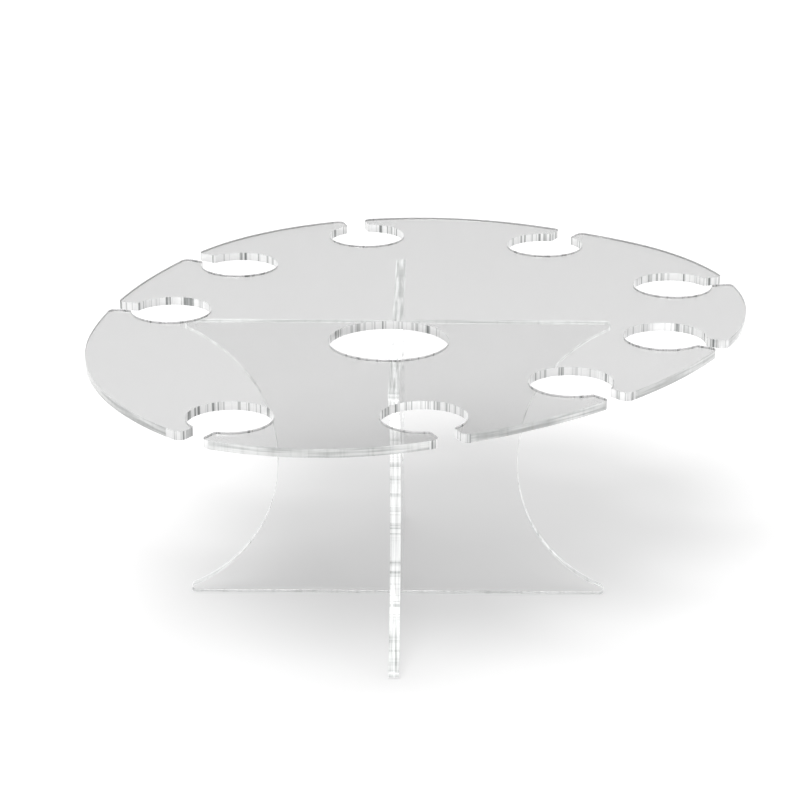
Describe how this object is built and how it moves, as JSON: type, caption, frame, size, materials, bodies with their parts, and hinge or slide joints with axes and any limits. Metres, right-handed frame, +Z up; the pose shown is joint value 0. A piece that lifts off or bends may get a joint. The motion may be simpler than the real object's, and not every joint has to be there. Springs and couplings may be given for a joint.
{
  "type": "champagne flute holder",
  "caption": "Clear egg-shaped tray with keyhole slots round its rim for stemmed flutes and a finger hole, lying on two crossed hourglass panels.",
  "frame": {"origin": "on the table, under the middle of the tray's bounding box", "axes": "+X along the tray's long axis towards its blunt end, +Z up; the stand's panels are turned under the tray as in the picture"},
  "size_m": [0.3522, 0.2896, 0.14],
  "materials": {
    "clear_acrylic": "clear cast acrylic sheet with polished faces and cut edges"
  },
  "bodies": {
    "root": {"tray": "clear_acrylic", "stand_panel_slot_up": "clear_acrylic", "stand_panel_slot_down": "clear_acrylic"}
  },
  "joints": []
}
